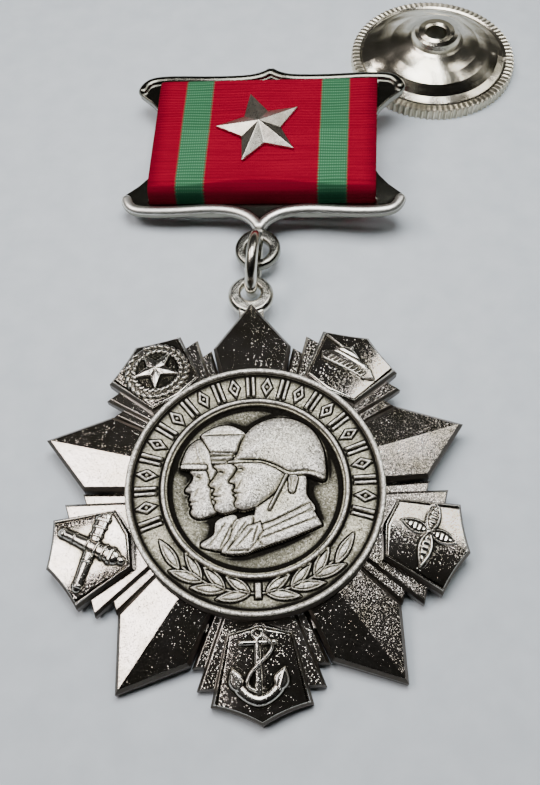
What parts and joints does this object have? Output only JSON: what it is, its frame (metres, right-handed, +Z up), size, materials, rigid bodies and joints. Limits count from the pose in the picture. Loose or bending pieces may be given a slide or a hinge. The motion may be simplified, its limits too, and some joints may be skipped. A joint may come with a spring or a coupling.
{
  "type": "service medal with ribbon pad and screw nut",
  "caption": "Star-shaped metal badge hung by a ring from a ribbon-covered pad with a threaded post, and the post's loose round nut.",
  "frame": {"origin": "middle of the whole object's footprint, on the surface it lies on", "axes": "+Z up out of the medal's face, +Y from the star towards the ribbon pad, +X to the right of the star"},
  "size_m": [0.0514, 0.0852, 0.007],
  "materials": {
    "star_metal": "struck nickel silver with a fine sparkling grain",
    "medallion_metal": "matt struck nickel silver with dark recesses",
    "polished_metal": "polished nickel",
    "satin_metal": "satin",
    "ribbon_cloth": "ribbed silk moire",
    "filler": "plain"
  },
  "bodies": {
    "pad": {"pad_frame": "polished_metal", "ribbon": "ribbon_cloth", "ribbon_core": "filler", "screw_post": "polished_metal", "ribbon_star": "satin_metal", "star_prong_left": "satin_metal", "star_prong_right": "satin_metal"},
    "ring": {"jump_ring": "polished_metal"},
    "star": {"star_badge": "star_metal", "badge_eyelet": "polished_metal", "medallion": "medallion_metal", "rivet_left": "polished_metal", "rivet_right": "polished_metal"},
    "nut": {"nut_disc": "polished_metal", "nut_hub": "polished_metal"}
  },
  "joints": [
    {"name": "ring_swing", "type": "hinge", "parent": "pad", "child": "ring", "pos_m": [-0.00589, 0.00344, 0.00226], "axis": [-0.0699, -0.0804, 0.9943], "range_deg": [-40, 40]},
    {"name": "star_swing", "type": "hinge", "parent": "ring", "child": "star", "pos_m": [-0.00629, 0.00059, 0.00345], "axis": [-0.9904, 0.1384, 0], "range_deg": [-20, 80]},
    {"name": "nut_lift_off", "type": "slide", "parent": "pad", "child": "nut", "axis": [1, 0, 0], "range_m": [0, 0.025]}
  ]
}
